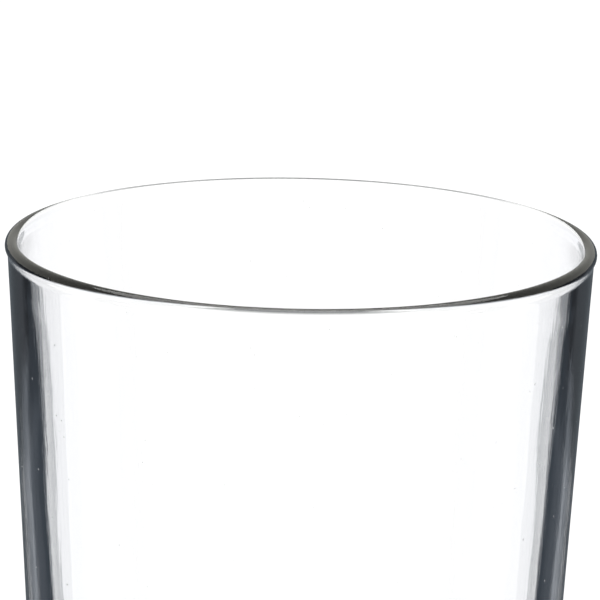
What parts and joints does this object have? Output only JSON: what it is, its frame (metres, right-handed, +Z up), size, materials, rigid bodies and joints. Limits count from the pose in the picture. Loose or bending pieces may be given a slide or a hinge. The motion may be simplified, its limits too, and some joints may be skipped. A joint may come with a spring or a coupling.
{
  "type": "pint glass",
  "caption": "Clear straight-sided pint glass with a thick tapering wall that thins towards a fire-polished beaded rim, and a heavy base with a shallow dome underneath.",
  "frame": {"origin": "centre of the bearing ring, on the surface that the glass stands on", "axes": "+Z up the glass's axis of revolution, from the foot to the mouth; X and Y are any two directions across it"},
  "size_m": [0.0888, 0.0888, 0.15],
  "materials": {
    "clear_glass": "fire-polished clear soda-lime glass, glossy"
  },
  "bodies": {
    "root": {"glass_body": "clear_glass"}
  },
  "joints": []
}
